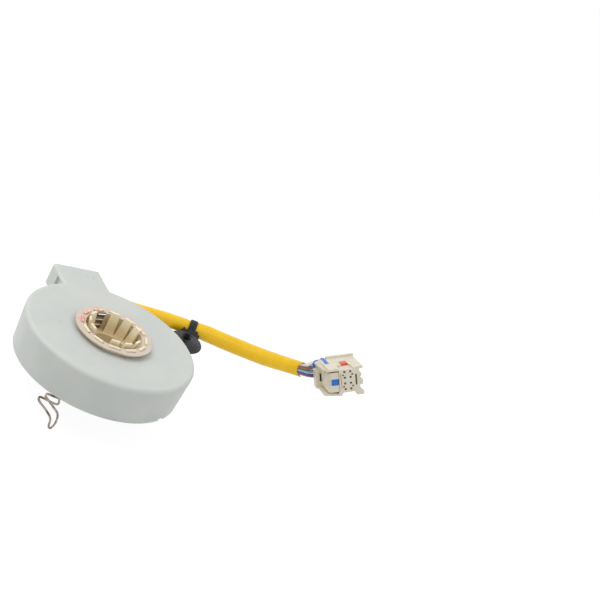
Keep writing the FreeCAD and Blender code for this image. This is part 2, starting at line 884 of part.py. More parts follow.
def terminal_back():
    """Depth of the terminals' rear ends."""
    return -con_nose_wall - terminal_gap - terminal_length


def con_cells():
    """Places of the eight cavities, by row from the top, left then right."""
    cells = []
    for row in range(con_rows):
        u = ((con_rows - 1) / 2 - row) * con_pitch
        cells += [(-con_pitch / 2, u), (con_pitch / 2, u)]
    return cells


def wire_points(cell):
    """Route of one wire, from inside the sleeve to its cavity."""
    end = V(*sleeve_route[-1])
    way = (end - V(*sleeve_route[-2])).normalize()
    up = con_up()
    row_way = (up - way * way.dot(up)).normalize()
    col_way = row_way.cross(way).normalize()
    w, u = cell
    col = w / con_pitch * 2
    row = u / con_pitch
    small = wire_bundle_pitch
    points = []
    for ahead in (wire_start - sleeve_bore_depth, wire_straight):
        points.append(end + way * ahead + col_way * (col * small / 2) + row_way * (row * small))
    for w_mid, m_mid, turn, share in wire_bend:
        pitch = small + (con_pitch - small) * share
        side = math.radians(turn)
        offset = con_right * math.cos(side) - con_out * math.sin(side)
        points.append(con_point(w_mid, row * pitch, m_mid) + offset * (col * pitch / 2))
    points.append(con_point(w, u, over - con_depth))
    points.append(con_point(w, u, terminal_back() - wire_end_gap))
    return [(p.x, p.y, p.z) for p in points]


def flat_prism(outline, u):
    """Solid from (width, depth) corners between two heights."""
    return prism([V(w, u[0], m) for w, m in outline], V(0, u[1] - u[0], 0))


def end_prism(outline, m):
    """Solid from (width, height) corners between two depths."""
    return prism([V(w, u, m[0]) for w, u in outline], V(0, 0, m[1] - m[0]))


def top_plate(back):
    """Plate on the top with its raised lip, strip and left skirt."""
    plate = block(plate_w, plate_u, (back, 0))
    lip = block(lip_w, (plate_u[0], plate_u[1] + lip_rise), (back - lip_length, back + sink))
    skirt = Part.makeLoft([
        Part.makePolygon([V(skirt_join_w, plate_u[1], m), V(skirt_join_w, plate_u[0], m),
                          V(edge[0], edge[1], m), V(edge[0], edge[2], m),
                          V(skirt_join_w, plate_u[1], m)])
        for edge, m in ((skirt_rear, back), (skirt_front, 0))
    ], True, True)
    strip = flat_prism([(strip_w[0], strip_m[0]), (strip_w[1], strip_m[1]),
                        (strip_w[2], strip_m[2]), (strip_w[3], strip_m[2])],
                       (plate_u[1] - sink, plate_u[1] + strip_rise))
    return [plate, lip, skirt, strip]


def left_side(back):
    """Shelves, shield wall, column, floor plate and web on the left."""
    shelves = []
    for u, rear in ((shelf_high_u, shelf_high_back), (shelf_low_u, shelf_low_back)):
        shelf = block((shelf_left_w, shelf_right_w), u, (rear, shelf_front))
        edges = [e for e in shelf.Edges
                 if e.BoundBox.YLength > 1.5 and e.BoundBox.XMax < shelf_left_w + 0.01
                 and e.BoundBox.ZMin > shelf_front - 0.01]
        shelves.append(shelf.makeFillet(shelf_fillet, edges))
    shield = flat_prism([(shelf_left_w, shelf_high_back), (lock_arm_width[0] + sink, shelf_high_back),
                         (lock_arm_width[0] + sink, lock_arm_front), (shelf_left_w, shield_corner)],
                        (shelf_low_u[1] - sink, shelf_high_u[0] + sink))
    column = end_prism([(column_w[0], column_u[0]), (column_w[2], column_u[0]),
                        (column_w[2], column_u[3]), (column_w[1], column_u[3]),
                        (column_w[1], column_u[2]), (column_w[0], column_u[1])],
                       (back - column_reach, column_front))
    floor = flat_prism([(floor_left_w, back + over), (floor_right_w, back + over),
                        (floor_right_w, 0), (floor_left_w, floor_corner)], floor_u)
    web = block((con_left_w, shelf_right_w), (floor_u[0], shelf_low_u[0] + sink), (back, web_front))
    return shelves + [shield, column, floor, web]


def right_side():
    """Rounded ribs on the right and the two feet under the mating face."""
    ribs = []
    for reach, low, high in (rib_high, rib_low):
        rib = block((con_right_w - over, reach), (low, high), (rib_back, shelf_front))
        edges = [e for e in rib.Edges if e.BoundBox.XMin > reach - 0.01 and e.BoundBox.ZLength > over]
        ribs.append(rib.makeFillet(rib_fillet, edges))
    foot_right = end_prism([(3.3, -6.5), (3.3, -6.8), (4.8, -8.8), (8.7, -9.0), (8.8, -7.1),
                            (7.2, -5.2), (6.3, -5.2), (6.3, -6.5)], (-foot_depth, 0))
    foot_left = end_prism([(-5.4, -6.0), (-3.0, -6.0), (-3.0, -6.7), (-3.5, -7.4), (-4.4, -8.3),
                           (-5.4, -8.3)], (-foot_depth, 0))
    return ribs + [foot_right, foot_left]


def connector_housing():
    """Eight-way ivory connector body, in its own axes, mating face at depth 0."""
    back = -con_depth
    core = flat_prism([(con_left_w, back), (con_right_w, back), (con_right_w, 0),
                       (con_face_left_w, 0), (-5.0, -2.0), (-7.6, -3.5), (con_left_w, -16.0)],
                      (con_bottom_u, con_top_u))
    body = core.fuse(top_plate(back) + left_side(back) + right_side())
    # notch in the top plate over the nose, with its nub, and the track of the position lock
    high = con_top_u + 2 * lip_rise
    body = body.cut(flat_prism([(notch_w[0], over), (notch_w[0], notch_back / 4),
                                (notch_w[0] + over, notch_back), (notch_w[1], notch_back),
                                (notch_w[2], over)], (con_top_u, high)))
    body = body.fuse(block(notch_nub_w, (con_top_u - sink, con_top_u + notch_nub_rise),
                           (notch_back - sink, notch_back + notch_nub_length)))
    body = body.cut(block((red_w[0] - slip_gap, red_w[1] + slip_gap), (con_top_u, high),
                          (red_m[0] - slip_gap, over)))
    # track of the terminal lock's tongue in the top plate
    body = body.cut(block((tongue_w[0] - slip_gap, tongue_w[1] + slip_gap),
                          (tongue_u[0] - slip_gap, high),
                          (back - column_reach - over, tongue_front + slip_gap)))
    # channel of the terminal lock's arm, open to the back and the front
    body = body.cut(block(lock_arm_w(slip_gap), lock_arm_u(slip_gap), (back - 3 * over, over)))
    # slot in the column, slit under the top plate
    body = body.cut(block(column_slot_w, column_slot_u, (back - 3 * over, column_front + sink)))
    body = body.cut(block((shelf_left_w - over, slit_w), (shelf_high_u[1], plate_u[0]),
                          (-slit_depth, over)))
    # slots of the mating face
    body = body.cut(block(face_slot_right_w, face_slot_right_u, (-face_slot_right_depth, over)))
    w_top, u_top, w_low, u_low = face_slot_left
    half = face_slot_width / 2
    body = body.cut(end_prism([(w_top - half, u_top), (w_top + half, u_top), (w_low + half, u_low),
                               (w_low - half, u_low)], (-face_slot_depth, over)))
    for w, u in tool_slots:
        wide, tall = tool_slot_size
        body = body.cut(block((w - wide / 2, w + wide / 2), (u - tall / 2, u + tall / 2),
                              (-tool_slot_depth, over)))
    for w, u in con_cells():
        body = body.cut(square_bar(w, u, con_hole, -con_nose_wall - over, over))
        body = body.cut(square_bar(w, u, con_cavity, back - over, -con_nose_wall))
    return body


def square_bar(w, u, side, low, high):
    """Square bar along the connector's depth, centred on a cell."""
    half = side / 2
    return block((w - half, w + half), (u - half, u + half), (low, high))


def lock_arm_w(spare):
    """Width of the terminal lock's arm, grown by a clearance."""
    return (lock_arm_width[0] - spare, lock_arm_width[1] + spare)


def lock_arm_u(spare):
    """Height of the terminal lock's arm, grown by a clearance."""
    return (lock_arm_height[0] - spare, lock_arm_height[1] + spare)


def terminal_lock():
    """Blue lock: arm in the channel, yoke round the rear left edge, tongue on the top."""
    front = -con_depth - lock_seat
    rear = front - lock_yoke
    arm = block(lock_arm_w(0), lock_arm_u(0), (rear, lock_arm_front))
    yoke = end_prism([(yoke_w[0], yoke_u[1]), (yoke_w[1], yoke_u[1]), (yoke_w[1], yoke_u[0]),
                      (yoke_w[2], yoke_u[0]), (yoke_w[2], yoke_u[2]), (yoke_w[0], yoke_u[2])],
                     (rear, front))
    edges = [e for e in yoke.Edges
             if e.BoundBox.ZLength > lock_yoke / 2
             and ((e.BoundBox.XMax < yoke_w[0] + 0.01 and e.BoundBox.YMin > yoke_u[2] - 0.01)
                  or (e.BoundBox.XMax < yoke_w[1] + 0.01 and e.BoundBox.YMax < yoke_u[0] + 0.01))]
    yoke = yoke.makeFillet(yoke_fillet, edges)
    tongue = block(tongue_w, tongue_u, (rear, tongue_front))
    return yoke.fuse([arm, tongue])


def position_lock():
    """Red lock in the track on the top of the nose."""
    body = block(red_w, red_u, red_m)
    edges = [e for e in body.Edges
             if e.BoundBox.XLength > 3.0 and e.BoundBox.YMin > red_u[1] - 0.01]
    return body.makeFillet(red_fillet, edges)


def contact_terminals():
    """Eight socket terminals in the cavities: a square contact box with a round crimp barrel."""
    low = terminal_back()
    high = low + terminal_length
    solids = []
    for w, u in con_cells():
        box = square_bar(w, u, terminal_size, low + terminal_barrel, high)
        barrel = Part.makeCylinder(terminal_size / 2, terminal_barrel + 0.5, V(w, u, low))
        mouth = square_bar(w, u, terminal_mouth, high - terminal_mouth_depth, high + 1)
        solids.append(box.fuse(barrel).cut(mouth))
    return Part.makeCompound(solids)


def cable_tie():
    """Tie strap with its head, and the dished push-in foot with a barbed stem."""
    place, way = tie_run()
    side = (tie_head_way - way * way.dot(tie_head_way)).normalize()
    foot = V(tie_foot_way).normalize()
    frame = FreeCAD.Rotation(way, side.cross(way), side, "XZY")
    strap = Part.makeCylinder(tie_bore_r + tie_strap, tie_width, place - way * (tie_width / 2), way)
    head_at = place + side * (tie_bore_r + tie_head_lift + tie_head[2] / 2)
    head = Part.makeBox(*tie_head, V(-tie_head[0] / 2, -tie_head[1] / 2, -tie_head[2] / 2))
    head.Placement = FreeCAD.Placement(head_at, frame)
    stub = Part.makeBox(*tie_stub, V(-tie_stub[0] / 2, -tie_stub[1] / 2, -tie_stub[2] / 2))
    stub.Placement = FreeCAD.Placement(
        head_at - way * (tie_head[0] / 2 + tie_stub_reach), frame)
    dish = [
        (0, 0),
        (tie_stem_r * 1.4, 0),
        (tie_dish_r, tie_dish_depth - tie_dish_wall),
        (tie_dish_r, tie_dish_depth),
        (tie_stem_r * 1.2, tie_dish_base),
        (0, tie_dish_base),
    ]
    thin = tie_stem_r * 0.7
    stem = [(0, sink), (thin, sink)]
    step = (tie_stem_length - tie_barb_first) / tie_barbs
    for k in range(tie_barbs):
        z = tie_barb_first + k * step
        stem += [(thin, z), (tie_stem_r * tie_barb, z), (thin, z + step * 0.8)]
    stem += [(tie_stem_r * 0.5, tie_stem_length), (0, tie_stem_length)]
    piece = turned(dish).fuse(turned(stem))
    piece.Placement = FreeCAD.Placement(tie_rim_centre - foot * tie_dish_depth,
                                        FreeCAD.Rotation(Z, foot))
    bore = Part.makeCylinder(tie_bore_r, tie_width * 4, place - way * (tie_width * 2), way)
    return strap.fuse([head, stub, piece]).cut(bore)


os.makedirs("parts", exist_ok=True)
save("housing", housing())
save("rear_cover", rear_cover())
save("input_hub", input_hub())
save("retaining_ring", retaining_ring())
save("index_key_spring", key_spring())
save("output_hub", output_hub())
save("torque_track_board", torque_board())
save("torque_wipers", Part.makeCompound(
    [wiper(torque_board_in_r + step, out_flange_top, torque_board_bottom)
     for step in torque_wiper_steps]))
save("position_board", position_board())
save("board_screws", board_screws())
save("position_wipers", Part.makeCompound(
    [wiper(position_board_in_r + step, drum_top, position_board_bottom)
     for step in position_wiper_steps]))
save("ribbon_coil", ribbon())
save("terminal_block", terminal_block())
save("terminal_pins", terminal_pins())
save("tower_hatch", tower_hatch())
save("cable_grommet", grommet())
save("wire_retaining_clip", tube(clip_route, clip_d, clip_bends))
save("harness_sleeve", sleeve())
save("cable_tie", cable_tie())
for name, cell in zip(wire_names, con_cells()):
    save("wire_" + name, tube(wire_points(cell), wire_d))
save("connector_housing", con_place(connector_housing()))
save("terminal_lock", con_place(terminal_lock()))
save("position_lock", con_place(position_lock()))
save("contact_terminals", con_place(contact_terminals()))
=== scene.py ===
import json
import math

import bpy
from mathutils import Matrix, Vector

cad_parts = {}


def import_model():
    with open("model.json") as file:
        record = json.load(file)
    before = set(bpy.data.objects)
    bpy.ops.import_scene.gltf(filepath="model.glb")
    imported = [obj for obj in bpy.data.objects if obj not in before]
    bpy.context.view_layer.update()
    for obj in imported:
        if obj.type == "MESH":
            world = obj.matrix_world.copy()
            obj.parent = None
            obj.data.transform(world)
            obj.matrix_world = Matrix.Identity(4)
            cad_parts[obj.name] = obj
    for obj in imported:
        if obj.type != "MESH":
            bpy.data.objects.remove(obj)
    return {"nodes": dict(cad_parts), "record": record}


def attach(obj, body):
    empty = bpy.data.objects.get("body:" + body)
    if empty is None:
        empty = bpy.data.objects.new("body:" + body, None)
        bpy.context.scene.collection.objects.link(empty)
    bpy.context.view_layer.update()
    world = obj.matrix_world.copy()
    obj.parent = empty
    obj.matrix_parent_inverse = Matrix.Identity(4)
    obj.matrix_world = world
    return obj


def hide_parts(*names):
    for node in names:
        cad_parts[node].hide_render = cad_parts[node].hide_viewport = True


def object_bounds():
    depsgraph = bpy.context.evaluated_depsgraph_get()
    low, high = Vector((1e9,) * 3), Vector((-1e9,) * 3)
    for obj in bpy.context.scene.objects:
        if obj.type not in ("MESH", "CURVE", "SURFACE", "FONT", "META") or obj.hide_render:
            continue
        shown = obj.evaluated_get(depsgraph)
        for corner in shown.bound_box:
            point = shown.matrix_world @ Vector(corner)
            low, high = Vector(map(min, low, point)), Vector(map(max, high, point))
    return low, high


# Looks of the power steering torque sensor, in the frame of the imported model. Sizes written
# with MM are in metres, the others in millimetres.

MM = 0.001
ROOT = "housing_body"

# Fineness of curves and rounded edges
CURVE_STEPS = 12
CURVE_ROUND_STEPS = 6
CURVE_ORDER = 3
BEVEL_SAMPLES = 6

# Harness route and sizes. The stretch hidden behind the housing lies a little lower than in
# the part's source.
SLEEVE_D = 8.2 * MM
SLEEVE_WALL = 0.4 * MM
SLEEVE_BORE_DEPTH = 11.2 * MM
SLEEVE_ROUTE = [
    (5.0, 48.5, 14.45),
    (14.0, 48.4, 14.0),
    (21.0, 47.0, 12.0),
    (31.5, 44.5, 11.4),
    (45.0, 41.8, 11.2),
    (54.5, 40.7, 10.65),
    (63.0, 39.62, 9.88),
    (73.2, 37.98, 9.0),
    (79.0, 36.9, 8.5),
    (91.9, 32.9, 7.4),
    (110.8, 28.0, 6.0),
    (125.6, 25.6, 5.1),
    (139.8, 23.6, 4.4),
]
# Slanted open end: the side that is cut back, and how far for each step towards it
SLEEVE_SLANT_SIDE =Vector((-0.582, -0.717, 0.383))
SLEEVE_SLANT = 1.61
SLEEVE_END_ZONE = 9.0 * MM
# Outer radius along the sleeve, from the tie in millimetres: way along, radius
SLEEVE_PROFILE = [
    (-200.0, 4.1), (-58.0, 4.1), (-55.0, 3.4), (-46.0, 3.55), (-12.0, 3.9), (-4.2, 3.95),
    (-3.2, 3.74), (2.4, 3.74), (3.4, 4.15), (10.0, 4.45), (46.0, 4.5), (66.0, 4.3), (200.0, 4.2),
]
SLEEVE_AROUND = 48
SLEEVE_END_STEPS = (0.2, 0.4, 0.6, 0.8, 1.0)
# Unevenness of the sleeve's soft wall: depth, then how fast its two waves run per millimetre
SAG_DEPTH = 0.05 * MM
SAG_WAVES = (0.16, 0.071)
WIRE_D = 1.55 * MM
WIRE_BUNDLE_PITCH = 1.62
WIRE_START = 0.5
WIRE_STRAIGHT = 0.5
WIRE_END_GAP = 0.1
WIRE_ENTRY = 1.0
WIRE_DARKER = 0.86
# Bend before the plug, on the plug's axes: width, depth, turn in degrees, share of its pitch
WIRE_BEND = [
    (-14.5, -30.3, 90.0, 0.5),
    (-6.0, -31.8, 50.0, 0.8),
    (-0.6, -27.8, 12.0, 1.0),
]

# Connector: its axes in the frame, origin at the middle of the mating face
CON_ORIGIN = Vector((147.8, -4.4, 19.9))
CON_OUT = Vector((-0.354, -0.887, 0.296)).normalized()
CON_RIGHT = Vector((0.866, -0.192, 0.461)).normalized()
CON_UP = CON_OUT.cross(CON_RIGHT).normalized()
CON_PITCH = 3.3
CON_ROWS = 4
CON_DEPTH = 22.6
TERMINAL_BACK = -15.2
# Tool slots between the holes: width and height of each, then the radius of the painted shade in
# them
CON_TOOL_SLOTS = ((-2.6, 3.2), (2.6, 3.3), (-2.5, -3.4), (2.7, -3.4))
CON_SLOT_SHADE_R = 0.5

# Tie on the sleeve
TIE_PLACE = (Vector(SLEEVE_ROUTE[6]) + Vector(SLEEVE_ROUTE[7])) / 2
TIE_WAY = (Vector(SLEEVE_ROUTE[7]) - Vector(SLEEVE_ROUTE[6])).normalized()
TIE_FRONT = Vector((-0.113, -0.913, 0.392))
TIE_SIDE = Vector((0.140, 0.377, 0.916))
TIE_WIDTH = 4.6
TIE_SHIFT = 0.3
TIE_LEAN = -0.42
TIE_STRAP_R = (3.7, 4.4)
TIE_TEETH = 30
TIE_TOOTH = 0.22
TIE_TOOTH_STEPS = 4
TIE_EDGE = 0.6
TIE_SHARP_ANGLE = 32.0
# Rounded near edges of the tie's plates: way below the near side, share of the outline
TIE_ROUNDING = ((0.35, 1.0), (0.1, 0.97), (0.0, 0.92))
# Outlines on the tie's near side: way along the sleeve, way to its side
TIE_HEAD = [(-4.4, -1.6), (-3.9, -1.3), (2.1, -0.4), (2.6, -0.8), (2.7, -1.9), (4.4, -2.4),
            (4.3, -4.2), (3.2, -5.8), (-3.0, -5.8), (-4.4, -3.2)]
TIE_HEAD_FRONT = (2.2, 4.6)
TIE_STUB = [(-6.7, -1.7), (-6.5, -0.8), (-6.1, -0.4), (-5.5, -0.5), (-5.0, -1.2), (-4.9, -2.0),
            (-4.2, -2.4), (-4.2, -3.3), (-6.1, -3.3)]
TIE_STUB_FRONT = (3.4, 4.5)
TIE_RIB_RISE = 0.3
TIE_RIB = 0.4
TIE_RIB_FIRST = 0.35
TIE_RIB_STEP = 0.85
TIE_RIBS = 3
# Foot of the tie: middle of its rim, the way it points, then radius and height from its base
FOOT_RIM = Vector((63.15, 31.63, 4.0))
FOOT_WAY = Vector((-0.462, -0.739, -0.490))
FOOT_RISE = 3.2
FOOT_AROUND = 64
FOOT_PROFILE = [
    (2.1, 0.0), (5.4, 0.85), (8.0, 1.95), (9.7, 3.0), (9.7, 3.2), (9.4, 3.2), (7.9, 2.5),
    (5.1, 1.6), (1.9, 1.2), (1.05, 1.35), (1.05, 2.6), (2.25, 2.6), (1.05, 3.96), (1.05, 4.3),
    (2.25, 4.3), (1.05, 5.66), (0.75, 6.0),
]

# Wire clip below the housing: control points of its bent route
CLIP_D = 1.1
CLIP_ROUTE = [
    (-26.2, -28.1, 1.2), (-26.3, -28.1, -1.6), (-27.2, -29.0, -1.8), (-31.5, -28.0, -1.6),
    (-34.6, -25.9, -1.6), (-35.7, -27.1, -2.4), (-34.0, -28.0, -3.6), (-30.0, -29.5, -6.8),
    (-26.8, -30.8, -9.3), (-26.6, -31.6, -14.2), (-28.8, -33.1, -16.7), (-30.7, -33.4, -15.2),
    (-30.4, -32.4, -11.2), (-34.0, -30.6, -7.8), (-38.9, -28.6, -4.4), (-37.6, -25.6, -4.0),
    (-34.8, -27.2, -4.2), (-30.0, -29.7, -4.7), (-28.3, -29.4, -4.4), (-29.3, -29.3, -1.4),
    (-29.3, -29.3, 1.2),
]

# Swelled tops of the heat stakes
STAKE_PITCH_R = 16.8
STAKE_TOP_Z = 23.8
STAKE_COUNT = 12
STAKE_FIRST_ANGLE = 10.0
STAKE_HEAD = (5.7, 1.5, 1.0)
STAKE_ACROSS = 10
STAKE_SQUARE = 0.6
# Along a stake's top, from -1 to 1: place, share of the full section
STAKE_STATIONS = ((-1.0, 0.5), (-0.97, 0.78), (-0.9, 0.97), (-0.82, 1.0), (0.82, 1.0),
                  (0.9, 0.97), (0.97, 0.78), (1.0, 0.5))
RING_TOP_Z = 23.0

# Crests of the key spring, where a painted highlight lies in bars: heights, then the bars' half
# width and soft edges; painted shade lies between them
KEY_CRESTS_Z = (16.6, 19.6, 22.7)
KEY_HIGHLIGHT_BAR = 0.35
KEY_HIGHLIGHT_OUTER = 0.12
KEY_HIGHLIGHT_INNER = 0.08

# Heights between which painted light makes the hub's plastic paler towards its top
HUB_PAINTED_LIGHT_Z = (18.5, 25.3)

# Brown specks on the tower and the face: place, radius
SPECKS = [((4.3, 53.3, 20.4), 0.34), ((7.7, 53.1, 20.4), 0.42), ((-27.4, 4.3, 20.4), 0.28),
          ((26.1, -3.7, 20.4), 0.22)]

# Red marking ink on the stakes: angle, radius, strength
INK_MARKS = [(160, 3.0, 1.0), (132, 2.4, 0.95), (100, 3.0, 0.95), (40, 1.6, 0.8), (12, 1.3, 0.7)]
INK_ON_RING = 0.35

# Dark tracks of the circuit boards: middle radius, half width
BOARD_TRACKS = [(17.5, 1.1), (20.5, 1.1), (23.5, 1.1), (22.4, 0.9), (25.0, 0.9)]
TRACK_FADE = 0.1

# Camera of the photograph
CAMERA_PLACE = (-0.33181, -0.52386, 0.34102)
CAMERA_RIGHT = (0.79624, -0.40771, 0.44697)
CAMERA_UP = (-0.16409, 0.56558, 0.80821)
CAMERA_BACK = (-0.58231, -0.71687, 0.38343)
CAMERA_LENS = 84.0
CAMERA_SENSOR = 36.0
CAMERA_NEAR = 0.01

# Light levels and floor
WORLD_LEVEL = 0.66
FLOOR_LIT = 0.8
FLOOR_SHADE = 0.12
FLOOR_GLOW = 0.93
FLOOR_SIZE = 30.0
FLOOR_DROP = 1.0 * MM

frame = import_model()
CAD_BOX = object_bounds()


# Shader helpers

def shader_of(name):
    """New material with its node tree and main shader."""
    made = bpy.data.materials.new(name)
    made.use_nodes = True
    return made, made.node_tree, made.node_tree.nodes["Principled BSDF"]


def put(tree, kind, **values):
    """New node with some of its inputs set by name."""
    node = tree.nodes.new(kind)
    for key, value in values.items():
        node.inputs[key.replace("_", " ")].default_value = value
    return node


def object_place(tree):
    """Object coordinates, in metres."""
    return tree.nodes.new("ShaderNodeTexCoord").outputs["Object"]


def noise(tree, size, detail=2.0, stretch=(1.0, 1.0, 1.0)):
    """Noise whose blobs are about the given size in millimetres, stretched along the axes."""
    node = put(tree, "ShaderNodeTexNoise", Scale=1.0 / (size * MM), Detail=detail)
    mapping = put(tree, "ShaderNodeMapping", Scale=stretch)
    tree.links.new(object_place(tree), mapping.inputs["Vector"])
    tree.links.new(mapping.outputs["Vector"], node.inputs["Vector"])
    return node.outputs["Fac"]


def spread(tree, value, low, high, to_low=0.0, to_high=1.0):
    """Map a range to another, clamped."""
    node = put(tree, "ShaderNodeMapRange", From_Min=low, From_Max=high,
               To_Min=to_low, To_Max=to_high)
    tree.links.new(value, node.inputs["Value"])
    return node.outputs["Result"]


def blend_colours(tree, share, first, second):
    """Colour between two, by a value. Each is a colour or another node's output."""
    node = tree.nodes.new("ShaderNodeMix")
    node.data_type = "RGBA"
    tree.links.new(share, node.inputs["Factor"])
    for slot, colour in (("A", first), ("B", second)):
        socket = [s for s in node.inputs if s.name == slot and s.type == "RGBA"][0]
        if isinstance(colour, tuple):
            socket.default_value = (*colour, 1.0)
        else:
            tree.links.new(colour, socket)
    return [s for s in node.outputs if s.type == "RGBA"][0]


def arithmetic(tree, how, first, second=None):
    """Maths node on values or numbers."""
    node = tree.nodes.new("ShaderNodeMath")
    node.operation = how
    for socket, value in zip(node.inputs, (first, second)):
        if value is None:
            continue
        if isinstance(value, (int, float)):
            socket.default_value = value
        else:
            tree.links.new(value, socket)
    return node.outputs["Value"]


def distance_from(tree, value, level):
    """How far a value in metres is from a level in millimetres."""
    return arithmetic(tree, "ABSOLUTE", arithmetic(tree, "SUBTRACT", value, level * MM))


def near_point(tree, point, radius, soft=0.3):
    """1 within a radius in millimetres of a point, 0 outside, with a soft edge."""
    node = tree.nodes.new("ShaderNodeVectorMath")
    node.operation = "DISTANCE"
    tree.links.new(object_place(tree), node.inputs[0])
    node.inputs[1].default_value = tuple(c * MM for c in point)
    return spread(tree, node.outputs["Value"], radius * (1 + soft) * MM, radius * (1 - soft) * MM)


def height_of(tree):
    """Height over the housing's rear face."""
    parts = tree.nodes.new("ShaderNodeSeparateXYZ")
    tree.links.new(object_place(tree), parts.inputs["Vector"])
    return parts.outputs["Z"]


def surface(tree, shader, height, depth, edge):
    """Rounded edges and fine relief, both in millimetres."""
    bevel = put(tree, "ShaderNodeBevel", Radius=edge * MM)
    bevel.samples = BEVEL_SAMPLES
    bump = put(tree, "ShaderNodeBump", Strength=1.0, Distance=depth * MM)
    tree.links.new(height, bump.inputs["Height"])
    tree.links.new(bevel.outputs["Normal"], bump.inputs["Normal"])
    tree.links.new(bump.outputs["Normal"], shader.inputs["Normal"])


def plastic(name, light, dark, roughness=(0.4, 0.5), blotch=9.0, grain=0.35, relief=0.006,
            through=0.0, depth=(1.0, 1.0, 1.0), edge=0.2):
    """Moulded plastic: uneven tone, fine skin grain and uneven gloss."""
    made, tree, shader = shader_of(name)
    tone = spread(tree, noise(tree, blotch, 3.0), 0.35, 0.65)
    colour = blend_colours(tree, tone, dark, light)
    tree.links.new(colour, shader.inputs["Base Color"])
    gloss = spread(tree, noise(tree, blotch / 3), 0.3, 0.7, *roughness)
    tree.links.new(gloss, shader.inputs["Roughness"])
    if through:
        shader.inputs["Subsurface Weight"].default_value = through
        shader.inputs["Subsurface Radius"].default_value = depth
        shader.inputs["Subsurface Scale"].default_value = MM
    surface(tree, shader, noise(tree, grain, 3.0), relief, edge)
    return made, tree, shader, colour


def metal(name, light, dark, roughness=(0.25, 0.4), streak=(1.0, 1.0, 1.0), grain=0.3,
          relief=0.004, edge=0.06):
    """Bare metal with drawn or rolled streaks."""
    made, tree, shader = shader_of(name)
    tone = spread(tree, noise(tree, grain * 4, 3.0, streak), 0.35, 0.65)
    tree.links.new(blend_colours(tree, tone, dark, light), shader.inputs["Base Color"])
    gloss = spread(tree, noise(tree, grain, 2.0, streak), 0.3, 0.7, *roughness)
    tree.links.new(gloss, shader.inputs["Roughness"])
    shader.inputs["Metallic"].default_value = 1.0
    surface(tree, shader, noise(tree, grain, 2.0, streak), relief, edge)
    return made


# Materials

def shell_material():
    """Translucent greenish white nylon, with small brown specks on the tower and face."""
    made, tree, shader, colour = plastic(
        "nylon_shell", (0.612, 0.635, 0.598), (0.578, 0.608, 0.585), (0.42, 0.52), blotch=22.0,
        grain=0.5, relief=0.008, through=0.35, depth=(3.0, 3.4, 3.2), edge=0.35)
    for point, radius in SPECKS:
        colour = blend_colours(tree, near_point(tree, point, radius), colour, (0.36, 0.29, 0.22))
    tree.links.new(colour, shader.inputs["Base Color"])
    return made


def hub_material():
    """Cream plastic with painted light making it paler towards the top, and red marking ink on some
    of the stakes.
    """
    made, tree, shader, colour = plastic(
        "hub_cream", (0.800, 0.665, 0.430), (0.750, 0.610, 0.375), (0.4, 0.52), blotch=6.0,
        grain=0.3, relief=0.006, through=0.3, depth=(1.6, 1.2, 0.7), edge=0.1)
    shader.inputs["Specular IOR Level"].default_value = 0.4
    low, high = HUB_PAINTED_LIGHT_Z
    # Painted light: the cream turns paler towards the top of the hub
    painted_light = spread(tree, height_of(tree), low * MM, high * MM)
    colour = blend_colours(tree, painted_light, colour, (0.93, 0.85, 0.64))
    tree.links.new(inked(tree, colour), shader.inputs["Base Color"])
    return made


def on_ring(angle):
    """Point on the stakes' circle."""
    a = math.radians(angle)
    return (STAKE_PITCH_R * math.cos(a), STAKE_PITCH_R * math.sin(a), STAKE_TOP_Z)


def inked(tree, colour):
    """Red ink over some of the stakes, patchy but on the strongest mark."""
    patches = spread(tree, noise(tree, 1.6), 0.42, 0.56)
    for angle, radius, strength in INK_MARKS:
        place = near_point(tree, on_ring(angle), radius, 0.45)
        share = arithmetic(tree, "MULTIPLY", place, strength)
        if strength < 1.0:
            share = arithmetic(tree, "MULTIPLY", share, patches)
        colour = blend_colours(tree, share, colour, (0.90, 0.36, 0.28))
    return colour


def ring_material():
    """Bare pinkish board with a faint fibre pattern and some stray ink."""
    made, tree, shader, colour = plastic(
        "board_pink", (0.700, 0.600, 0.510), (0.640, 0.540, 0.455), (0.5, 0.62), blotch=1.2,
        grain=0.22, relief=0.008, edge=0.08)
    patches = spread(tree, noise(tree, 2.2), 0.5, 0.6)
    for angle, radius, strength in INK_MARKS:
        place = near_point(tree, on_ring(angle), radius, 0.5)
        share = arithmetic(tree, "MULTIPLY", place, patches)
        share = arithmetic(tree, "MULTIPLY", share, strength * INK_ON_RING)
        colour = blend_colours(tree, share, colour, (0.80, 0.34, 0.28))
    tree.links.new(colour, shader.inputs["Base Color"])
    return made


def board_material():
    """Tan circuit board with dark resistive tracks round the axis."""
    made, tree, shader, colour = plastic(
        "board_tan", (0.52, 0.44, 0.24), (0.44, 0.37, 0.20), (0.35, 0.5), blotch=2.0, grain=0.2,
        edge=0.08)
    flat = tree.nodes.new("ShaderNodeVectorMath")
    flat.operation = "MULTIPLY"
    flat.inputs[1].default_value = (1.0, 1.0, 0.0)
    tree.links.new(object_place(tree), flat.inputs[0])
    length = tree.nodes.new("ShaderNodeVectorMath")
    length.operation = "LENGTH"
    tree.links.new(flat.outputs["Vector"], length.inputs[0])
    radius = length.outputs["Value"]
    for middle, half in BOARD_TRACKS:
        off = distance_from(tree, radius, middle)
        share = spread(tree, off, (half + TRACK_FADE) * MM, half * MM)
        colour = blend_colours(tree, share, colour, (0.025, 0.025, 0.028))
    tree.links.new(colour, shader.inputs["Base Color"])
    return made


